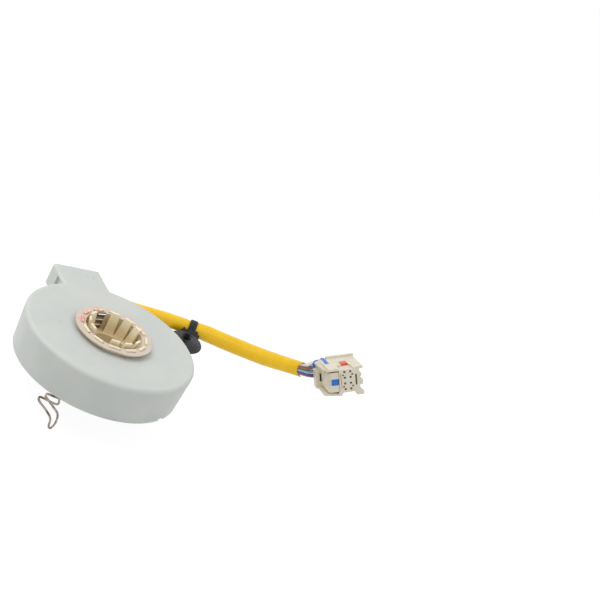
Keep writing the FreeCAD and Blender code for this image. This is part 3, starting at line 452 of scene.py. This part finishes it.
def spring_material():
    """Strip with a painted highlight at the crests of its pleats and painted shade between them."""
    made = metal("spring_steel", (0.90, 0.89, 0.87), (0.80, 0.79, 0.77), (0.2, 0.32),
                 streak=(1.0, 1.0, 4.0))
    tree = made.node_tree
    shader = tree.nodes["Principled BSDF"]
    height = height_of(tree)
    painted_glint = None
    for crest in KEY_CRESTS_Z:
        off = distance_from(tree, height, crest)
        share = spread(tree, off, (KEY_HIGHLIGHT_BAR + KEY_HIGHLIGHT_OUTER) * MM, (KEY_HIGHLIGHT_BAR - KEY_HIGHLIGHT_INNER) * MM)
        painted_glint = share if painted_glint is None else arithmetic(tree, "MAXIMUM", painted_glint, share)
    # Painted highlight on the crests and painted shade between them, not the steel's own colour
    colour = blend_colours(tree, painted_glint, (0.20, 0.16, 0.12), (0.93, 0.92, 0.90))
    tree.links.new(colour, shader.inputs["Base Color"])
    return made


def yellow_material():
    """Soft yellow vinyl with a finely uneven skin."""
    made, _, shader, _ = plastic(
        "sleeve_yellow", (0.980, 0.610, 0.008), (0.940, 0.560, 0.006), (0.26, 0.36), blotch=11.0,
        grain=0.6, relief=0.012, through=0.15, depth=(2.0, 1.0, 0.2), edge=0.1)
    shader.inputs["Specular IOR Level"].default_value = 0.35
    return made


def ivory_material():
    """Warm ivory plastic, with painted shade inside the small tool slots between the holes."""
    made, tree, shader, colour = plastic(
        "connector_ivory", (0.770, 0.715, 0.590), (0.715, 0.660, 0.530), (0.38, 0.5),
        blotch=5.0, grain=0.3, through=0.15, depth=(1.0, 0.8, 0.5), edge=0.22)
    for w, u in CON_TOOL_SLOTS:
        place = near_point(tree, con_point(w, u, 0.0), CON_SLOT_SHADE_R)
        # Painted shade in the tool slot
        colour = blend_colours(tree, place, colour, (0.075, 0.050, 0.035))
    tree.links.new(colour, shader.inputs["Base Color"])
    return made


def lock_material(name, light, dark):
    """Coloured lock of the plug."""
    made, _, shader, _ = plastic(name, light, dark, (0.35, 0.45), blotch=4.0)
    shader.inputs["Specular IOR Level"].default_value = 0.3
    return made


def black_material():
    """Black nylon, a little brushed by handling."""
    made, _, shader, _ = plastic(
        "tie_black", (0.030, 0.031, 0.033), (0.016, 0.017, 0.019), (0.22, 0.4), blotch=2.5,
        grain=0.25, relief=0.008, edge=0.08)
    shader.inputs["Specular IOR Level"].default_value = 0.4
    return made


def wire_material(name, colour):
    """Smooth vinyl insulation."""
    darker = tuple(c * WIRE_DARKER for c in colour)
    made, _, shader, _ = plastic(
        name, colour, darker, (0.22, 0.32), blotch=5.0, grain=0.5, relief=0.004, edge=0.05)
    shader.inputs["Coat Weight"].default_value = 0.3
    shader.inputs["Coat Roughness"].default_value = 0.15
    return made


WIRES = {
    "white": (0.93, 0.93, 0.95),
    "yellow": (0.92, 0.80, 0.45),
    "brown": (0.50, 0.21, 0.16),
    "red": (0.55, 0.20, 0.16),
    "blue": (0.40, 0.70, 0.84),
    "green": (0.10, 0.36, 0.15),
    "violet": (0.34, 0.16, 0.42),
    "black": (0.022, 0.022, 0.024),
}


def cad_materials():
    """Materials of the nodes that stay as they are, by material slot."""
    return {
        "nylon_shell": shell_material(),
        "nylon_cover": plastic("nylon_cover", (0.63, 0.67, 0.64), (0.59, 0.64, 0.62), blotch=16.0,
                               through=0.3, depth=(2.6, 3.0, 2.8))[0],
        "hub_cream": hub_material(),
        "hub_brown": plastic("hub_brown", (0.21, 0.15, 0.09), (0.16, 0.11, 0.065), blotch=5.0)[0],
        "board_pink": ring_material(),
        "board_tan": board_material(),
        "spring_steel": spring_material(),
        "contact_metal": metal("contact_metal", (0.83, 0.66, 0.36), (0.70, 0.52, 0.26)),
        "tin_plate": metal("tin_plate", (0.72, 0.71, 0.69), (0.58, 0.57, 0.55), (0.3, 0.45)),
        "zinc_steel": metal("zinc_steel", (0.62, 0.62, 0.60), (0.50, 0.50, 0.49), (0.3, 0.45)),
        "ribbon_film": plastic("ribbon_film", (0.50, 0.23, 0.05), (0.42, 0.18, 0.04), (0.2, 0.3),
                               blotch=4.0, edge=0.05)[0],
        "block_grey": plastic("block_grey", (0.26, 0.26, 0.25), (0.20, 0.20, 0.20))[0],
        "grommet_rubber": plastic("grommet_rubber", (0.040, 0.038, 0.036), (0.025, 0.024, 0.023),
                                  (0.6, 0.75), blotch=3.0, relief=0.015)[0],
        "clip_wire": metal("clip_wire", (0.52, 0.45, 0.39), (0.20, 0.150, 0.125), (0.36, 0.5),
                           grain=0.7, relief=0.02, edge=0.04),
        "sleeve_yellow": yellow_material(),
        "tie_black": black_material(),
        "connector_ivory": ivory_material(),
        "lock_blue": lock_material("lock_blue", (0.030, 0.225, 0.820), (0.022, 0.170, 0.680)),
        "lock_red": lock_material("lock_red", (0.860, 0.145, 0.080), (0.780, 0.110, 0.062)),
    }


# Mesh helpers

def mesh_object(name, points, faces, made):
    """Mesh piece from points in metres and faces."""
    mesh = bpy.data.meshes.new(name)
    mesh.from_pydata([tuple(p) for p in points], [], faces)
    mesh.shade_smooth()
    piece = bpy.data.objects.new(name, mesh)
    bpy.context.scene.collection.objects.link(piece)
    mesh.materials.append(made)
    return piece


def spline(name, points, diameter=0.0):
    """Curve of one NURBS spline through given control points, in metres."""
    curve = bpy.data.curves.new(name, "CURVE")
    curve.dimensions = "3D"
    curve.resolution_u = CURVE_STEPS
    line = curve.splines.new("NURBS")
    line.points.add(len(points) - 1)
    for spot, place in zip(line.points, points):
        spot.co = (*place, 1.0)
    line.order_u = CURVE_ORDER
    line.use_endpoint_u = True
    curve.bevel_depth = diameter / 2
    curve.bevel_resolution = CURVE_ROUND_STEPS
    curve.use_fill_caps = True
    piece = bpy.data.objects.new(name, curve)
    bpy.context.scene.collection.objects.link(piece)
    return piece


def line_points(points):
    """Points along the NURBS spline of a route."""
    bare = spline("route", points)
    mesh = bpy.data.meshes.new_from_object(bare)
    places = [v.co.copy() for v in mesh.vertices]
    bpy.data.meshes.remove(mesh)
    bpy.data.objects.remove(bare)
    return places


def frames_along(places):
    """Direction and two cross directions at each point, carried along without twist."""
    side = Vector((0.0, 0.0, 1.0))
    rows = []
    for k, place in enumerate(places):
        ahead = places[min(k + 1, len(places) - 1)]
        behind = places[max(k - 1, 0)]
        way = (ahead - behind).normalized()
        side = (side - way * way.dot(side)).normalized()
        rows.append((place, way, side, way.cross(side)))
    return rows


def round_ring(centre, first, second, radius_at, count):
    """Ring of points about a centre, in the plane of two directions."""
    ring = []
    for k in range(count):
        turn = 2 * math.pi * k / count
        out = first * math.cos(turn) + second * math.sin(turn)
        ring.append(centre + out * radius_at(turn))
    return ring


def closed_loft(rings):
    """Points and faces of a solid through rings of points, with both ends closed."""
    count = len(rings[0])
    points = [p for ring in rings for p in ring]
    faces = []
    for k in range(len(rings) - 1):
        low, high = k * count, (k + 1) * count
        for j in range(count):
            n = (j + 1) % count
            faces.append((low + j, low + n, high + n, high + j))
    faces.append(tuple(range(count))[::-1])
    faces.append(tuple((len(rings) - 1) * count + j for j in range(count)))
    return points, faces


def joined(parts):
    """Points in metres and faces of several parts whose points are in millimetres."""
    points, faces = [], []
    for part_points, part_faces in parts:
        start = len(points)
        points += [p * MM for p in part_points]
        faces += [tuple(start + k for k in face) for face in part_faces]
    return points, faces


# Harness

def in_metres(points):
    """Route in metres."""
    return [Vector(p) * MM for p in points]


def con_point(w, u, m):
    """Point from the connector's own width, height and depth, in millimetres."""
    return CON_ORIGIN + CON_RIGHT * w + CON_UP * u + CON_OUT * m


def wire_points(cell):
    """Route of one wire from inside the sleeve to its cavity, in millimetres."""
    end = Vector(SLEEVE_ROUTE[-1])
    way = (end - Vector(SLEEVE_ROUTE[-2])).normalized()
    row_way = (CON_UP - way * way.dot(CON_UP)).normalized()
    col_way = row_way.cross(way).normalized()
    w, u = cell
    col = w / CON_PITCH * 2
    row = u / CON_PITCH
    small = WIRE_BUNDLE_PITCH
    points = []
    for ahead in (WIRE_START - SLEEVE_BORE_DEPTH / MM, WIRE_STRAIGHT):
        points.append(end + way * ahead + col_way * (col * small / 2) + row_way * (row * small))
    for w_mid, m_mid, turn, share in WIRE_BEND:
        pitch = small + (CON_PITCH - small) * share
        side = math.radians(turn)
        offset = CON_RIGHT * math.cos(side) - CON_OUT * math.sin(side)
        points.append(con_point(w_mid, row * pitch, m_mid) + offset * (col * pitch / 2))
    points.append(con_point(w, u, -CON_DEPTH + WIRE_ENTRY))
    points.append(con_point(w, u, TERMINAL_BACK - WIRE_END_GAP))
    return points


def con_cells():
    """Places of the eight cavities, by row from the top, left then right."""
    cells = []
    for row in range(CON_ROWS):
        u = ((CON_ROWS - 1) / 2 - row) * CON_PITCH
        cells += [(-CON_PITCH / 2, u), (CON_PITCH / 2, u)]
    return cells


def run_length(places):
    """Length along points."""
    return sum((b - a).length for a, b in zip(places, places[1:]))


def harness(made):
    """Sleeve and wires, each wire a curve along its route."""
    sleeve(made["sleeve_yellow"], tie(made["tie_black"]))
    for (name, colour), cell in zip(WIRES.items(), con_cells()):
        points = in_metres(wire_points(cell))
        wire = spline("wire_" + name + "_cord", points, WIRE_D)
        wire.data.materials.append(wire_material("wire_" + name, colour))
        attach(wire, ROOT)
        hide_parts("wire_" + name)
        run_length(line_points(points))


def wire_clip(made):
    """Bent wire clip below the housing."""
    piece = spline("clip_wire_bent", in_metres(CLIP_ROUTE), CLIP_D * MM)
    piece.data.materials.append(made)
    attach(piece, ROOT)
    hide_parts("wire_retaining_clip")


def stake_heads(made):
    """Swelled, rounded tops of the twelve heat stakes."""
    length, width, height = STAKE_HEAD
    parts = []
    for n in range(STAKE_COUNT):
        turn = math.radians(STAKE_FIRST_ANGLE + 360 / STAKE_COUNT * n)
        out = Vector((math.cos(turn), math.sin(turn), 0.0))
        side = Vector((-math.sin(turn), math.cos(turn), 0.0))
        rings = []
        for share, full in STAKE_STATIONS:
            ring = []
            for k in range(STAKE_ACROSS + 1):
                a = math.pi * k / STAKE_ACROSS
                c = math.copysign(abs(math.cos(a)) ** STAKE_SQUARE, math.cos(a))
                rise = height * full * math.sin(a) ** STAKE_SQUARE
                ring.append(out * (STAKE_PITCH_R + c * width / 2 * full)
                            + side * (share * length / 2) + Vector((0, 0, RING_TOP_Z + rise)))
            rings.append(ring)
        parts.append(closed_loft(rings))
    piece = mesh_object("stake_heads", *joined(parts), made)
    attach(piece, "input_rotor")


def sleeve(made, tie_piece):
    """Vinyl sleeve as a tube, drawn in by the tie, open at its slanted far end."""
    places = line_points(in_metres(SLEEVE_ROUTE))
    rows = frames_along(places)
    end, way = rows[-1][0], rows[-1][1]
    side = (SLEEVE_SLANT_SIDE - way * way.dot(SLEEVE_SLANT_SIDE)).normalized()
    slant = way + side * SLEEVE_SLANT
    last = len(rows) - 1
    start = max(k for k in range(last) if (end - places[k]).length > SLEEVE_END_ZONE)
    bottom = max(k for k in range(last) if (end - places[k]).length > SLEEVE_BORE_DEPTH)

    def rim(row, wall):
        """Ring of points at a row."""
        place, _, first, second = row
        return round_ring(place, first, second,
                          lambda turn: sleeve_radius(place) + sag_wave(place, turn) - wall,
                          SLEEVE_AROUND)

    def skin(first_row, wall):
        """Rings from a row to the slanted end."""
        rings = [rim(rows[k], wall) for k in range(first_row, start + 1)]
        low = rings[-1]
        high = [p - way * max(0.0, (p - end).dot(slant)) for p in rim(rows[last], wall)]
        for share in SLEEVE_END_STEPS:
            rings.append([a.lerp(b, share) for a, b in zip(low, high)])
        return rings

    rings = skin(0, 0.0) + skin(bottom, SLEEVE_WALL)[::-1]
    piece = mesh_object("sleeve_tube", *closed_loft(rings), made)
    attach(piece, ROOT)
    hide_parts("harness_sleeve")


def sleeve_radius(place):
    """Outer radius of the sleeve at a place on its line."""
    along = (place / MM - TIE_PLACE).dot(TIE_WAY)
    for (x0, r0), (x1, r1) in zip(SLEEVE_PROFILE, SLEEVE_PROFILE[1:]):
        if x0 <= along <= x1:
            share = (along - x0) / (x1 - x0)
            share = share * share * (3 - 2 * share)
            return (r0 + (r1 - r0) * share) * MM
    return SLEEVE_D / 2


def sag_wave(place, turn):
    """Slight unevenness of the soft wall."""
    along = place.x / MM
    first, second = SAG_WAVES
    return SAG_DEPTH * math.sin(along * first + turn) * math.sin(along * second + 2 * turn)


def tie_spot(along, side, front):
    """Point from the tie's own axes, in millimetres."""
    return TIE_PLACE + TIE_WAY * along + TIE_SIDE * side + TIE_FRONT * front


def plate(outline, front):
    """Flat block of the tie between two depths, with its near edges drawn in."""
    low, high = front
    middle = [sum(p[k] for p in outline) / len(outline) for k in (0, 1)]
    rings = []
    for depth, share in [(low, 1.0)] + [(high - below, share) for below, share in TIE_ROUNDING]:
        rings.append([tie_spot(middle[0] + (a - middle[0]) * share,
                               middle[1] + (s - middle[1]) * share, depth) for a, s in outline])
    return closed_loft(rings)


def strap():
    """Toothed band that leans along the sleeve towards the viewer."""
    inner, outer = TIE_STRAP_R
    count = TIE_TOOTH_STEPS * TIE_TEETH
    half = TIE_WIDTH / 2
    tread = half - TIE_EDGE
    section = [(-half, inner, 0), (-half, outer, 0), (-tread, outer, 0), (-tread, outer, 1),
               (tread, outer, 1), (tread, outer, 0), (half, outer, 0), (half, inner, 0)]
    points, faces = [], []
    for k in range(count):
        turn = 2 * math.pi * k / count
        tooth = TIE_TOOTH if k % TIE_TOOTH_STEPS < TIE_TOOTH_STEPS / 2 else 0.0
        for along, radius, raised in section:
            reach = radius + raised * tooth
            front = reach * math.cos(turn)
            ahead = TIE_SHIFT + along + TIE_LEAN * front
            points.append(tie_spot(ahead, reach * math.sin(turn), front))
    size = len(section)
    for k in range(count):
        n = (k + 1) % count
        for j in range(size):
            m = (j + 1) % size
            faces.append((k * size + j, k * size + m, n * size + m, n * size + j))
    return points, faces


def head_ribs():
    """Ribs across the tie's head."""
    first, last = Vector(TIE_HEAD[1]), Vector(TIE_HEAD[2])
    way = (last - first).normalized()
    across = Vector((-way.y, way.x))
    parts = []
    for k in range(TIE_RIBS):
        inwards = TIE_RIB_FIRST + k * TIE_RIB_STEP
        start = first - across * inwards
        end = last - across * inwards
        outline = [start, end, end - across * TIE_RIB, start - across * TIE_RIB]
        parts.append(plate([tuple(p) for p in outline],
                           (TIE_HEAD_FRONT[0], TIE_HEAD_FRONT[1] + TIE_RIB_RISE)))
    return parts


def foot():
    """Dish and barbed stem, turned about the foot's own axis."""
    way = FOOT_WAY.normalized()
    first = way.orthogonal().normalized()
    second = way.cross(first)
    base = FOOT_RIM - way * FOOT_RISE
    rings = []
    for radius, rise in FOOT_PROFILE:
        rings.append(round_ring(base + way * rise, first, second, lambda turn: radius, FOOT_AROUND))
    return closed_loft(rings)


def tie(made):
    """Cable tie in one mesh: strap, ribbed head, cut-off tail and dished foot."""
    parts = [strap(), plate(TIE_HEAD, TIE_HEAD_FRONT), plate(TIE_STUB, TIE_STUB_FRONT), foot()]
    piece = mesh_object("tie_body", *joined(parts + head_ribs()), made)
    piece.data.set_sharp_from_angle(angle=math.radians(TIE_SHARP_ANGLE))
    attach(piece, ROOT)
    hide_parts("cable_tie")
    return piece


# Carried-over nodes

def dress(made):
    """Give each shown node its slot's material."""
    slots = {row["node"]: row["material_slot"] for row in frame["record"]["subparts"]}
    for name, node in frame["nodes"].items():
        slot = slots[name]
        if slot not in made:
            continue
        node.data.materials.clear()
        node.data.materials.append(made[slot])


# Stage

def world():
    """White to the camera and in reflections, a plain level for the light."""
    made = bpy.data.worlds.new("studio")
    bpy.context.scene.world = made
    made.use_nodes = True
    tree = made.node_tree
    tree.nodes.clear()
    white = put(tree, "ShaderNodeBackground", Color=(1.0, 1.0, 1.0, 1.0), Strength=1.0)
    plain = put(tree, "ShaderNodeBackground", Color=(1.0, 1.0, 1.0, 1.0), Strength=WORLD_LEVEL)
    out = tree.nodes.new("ShaderNodeOutputWorld")
    tree.links.new(by_ray(tree, plain, white), out.inputs["Surface"])


def seen_ray(tree):
    """1 for camera, glossy and transmission rays."""
    path = tree.nodes.new("ShaderNodeLightPath")
    some = arithmetic(tree, "MAXIMUM", path.outputs["Is Camera Ray"], path.outputs["Is Glossy Ray"])
    return arithmetic(tree, "MAXIMUM", some, path.outputs["Is Transmission Ray"])


def by_ray(tree, lit, seen):
    """One shader for the light that it gives, another for what is seen of it."""
    mix = tree.nodes.new("ShaderNodeMixShader")
    tree.links.new(seen_ray(tree), mix.inputs["Fac"])
    tree.links.new(lit.outputs[0], mix.inputs[1])
    tree.links.new(seen.outputs[0], mix.inputs[2])
    return mix.outputs[0]


def floor():
    """Wide white floor that keeps a faint shadow."""
    low = CAD_BOX[0].z - FLOOR_DROP
    half = FLOOR_SIZE / 2
    made, tree, shader = shader_of("floor_white")
    tree.nodes.remove(shader)
    plain = put(tree, "ShaderNodeBsdfDiffuse", Color=(FLOOR_LIT, FLOOR_LIT, FLOOR_LIT, 1.0))
    faint = put(tree, "ShaderNodeBsdfDiffuse", Color=(FLOOR_SHADE, FLOOR_SHADE, FLOOR_SHADE, 1.0))
    glow = put(tree, "ShaderNodeEmission", Color=(1.0, 1.0, 1.0, 1.0), Strength=FLOOR_GLOW)
    both = tree.nodes.new("ShaderNodeAddShader")
    tree.links.new(faint.outputs[0], both.inputs[0])
    tree.links.new(glow.outputs[0], both.inputs[1])
    tree.links.new(by_ray(tree, plain, both), tree.nodes["Material Output"].inputs["Surface"])
    corners = [(-half, -half, low), (half, -half, low), (half, half, low), (-half, half, low)]
    piece = mesh_object("floor", corners, [(0, 1, 2, 3)], made)


def lamp(name, towards, distance, size, energy, target):
    """Soft square lamp that looks at a point."""
    data = bpy.data.lights.new(name, "AREA")
    data.size = size
    data.energy = energy
    piece = bpy.data.objects.new(name, data)
    bpy.context.scene.collection.objects.link(piece)
    way = Vector(towards).normalized()
    piece.location = target + way * distance
    piece.rotation_mode = "QUATERNION"
    piece.rotation_quaternion = way.to_track_quat("Z", "Y")


def lights():
    """Key lamp from the photograph's top, a weaker one from its right."""
    centre = (CAD_BOX[0] + CAD_BOX[1]) / 2
    up, back, right = Vector(CAMERA_UP), Vector(CAMERA_BACK), Vector(CAMERA_RIGHT)
    lamp("key", up + back * 0.35 - right * 0.25, distance=1.2, size=0.9, energy=5.8, target=centre)
    lamp("side", back * 0.7 + up * 0.5 + right * 0.9, distance=1.4, size=0.6, energy=2.0,
         target=centre)


def camera():
    """The photograph's viewpoint."""
    data = bpy.data.cameras.new("camera")
    data.lens = CAMERA_LENS
    data.sensor_width = CAMERA_SENSOR
    data.clip_start = CAMERA_NEAR
    piece = bpy.data.objects.new("camera", data)
    bpy.context.scene.collection.objects.link(piece)
    turn = Matrix([CAMERA_RIGHT, CAMERA_UP, CAMERA_BACK]).transposed().to_4x4()
    piece.matrix_world = Matrix.Translation(CAMERA_PLACE) @ turn
    bpy.context.scene.camera = piece
    bpy.context.scene.view_settings.view_transform = "Standard"


camera()
world()
lights()
floor()
MADE = cad_materials()
dress(MADE)
harness(MADE)
wire_clip(MADE["clip_wire"])
stake_heads(MADE["hub_cream"])
